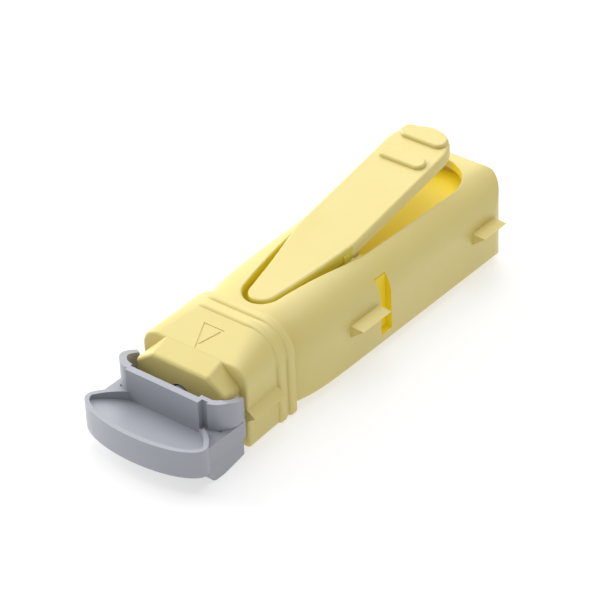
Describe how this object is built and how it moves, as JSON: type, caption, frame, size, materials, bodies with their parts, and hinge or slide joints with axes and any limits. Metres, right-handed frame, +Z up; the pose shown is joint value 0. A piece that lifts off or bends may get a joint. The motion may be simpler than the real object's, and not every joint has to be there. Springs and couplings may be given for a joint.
{
  "type": "safety lancet",
  "caption": "Single-use safety lancet: ribbed sleeve with a rocker lever that fires a spring-driven needle, and a pull-off cap with a D-shaped finger tray.",
  "frame": {"origin": "under the middle of the whole object, on the surface that it lies on", "axes": "+Y along the body towards its closed rear end, the needle leaves towards -Y; +Z up, the lever is on top; X across, symmetric"},
  "size_m": [0.0198, 0.0596, 0.0172],
  "materials": {
    "housing_plastic": "fine satin moulded, slightly translucent yellow",
    "nose_plastic": "fine satin moulded, slightly translucent yellow",
    "lever_plastic": "fine satin moulded, slightly translucent yellow",
    "hammer_plastic": "natural white moulded",
    "needle_steel": "bright drawn",
    "spring_steel": "drawn wire",
    "sheath_plastic": "soft moulded grey",
    "cap_plastic": "fine satin moulded lavender grey"
  },
  "bodies": {
    "sleeve": {"housing": "housing_plastic", "nose_guard": "nose_plastic", "drive_spring": "spring_steel", "return_spring": "spring_steel"},
    "lever": {"trigger_lever": "lever_plastic"},
    "hammer": {"needle_hammer": "hammer_plastic", "lancet_needle": "needle_steel"},
    "cap": {"protective_cap": "cap_plastic", "needle_sheath": "sheath_plastic"}
  },
  "joints": [
    {"name": "lever_press", "type": "hinge", "parent": "sleeve", "child": "lever", "pos_m": [0, 0.0049, 0.011], "axis": [-1, 0, 0], "range_deg": [0, 9], "stiffness_Nm_per_rad": 0.3},
    {"name": "hammer_fire", "type": "slide", "parent": "sleeve", "child": "hammer", "axis": [0, -1, 0], "range_m": [0, 0.0042], "deforming": ["drive_spring", "return_spring"]},
    {"name": "cap_pull", "type": "slide", "parent": "sleeve", "child": "cap", "axis": [0, -1, 0], "range_m": [0, 0.028]}
  ],
  "couplings": [
    {"joint": "hammer_fire", "follows": "lever_press", "m_per_rad": 0.0267}
  ]
}
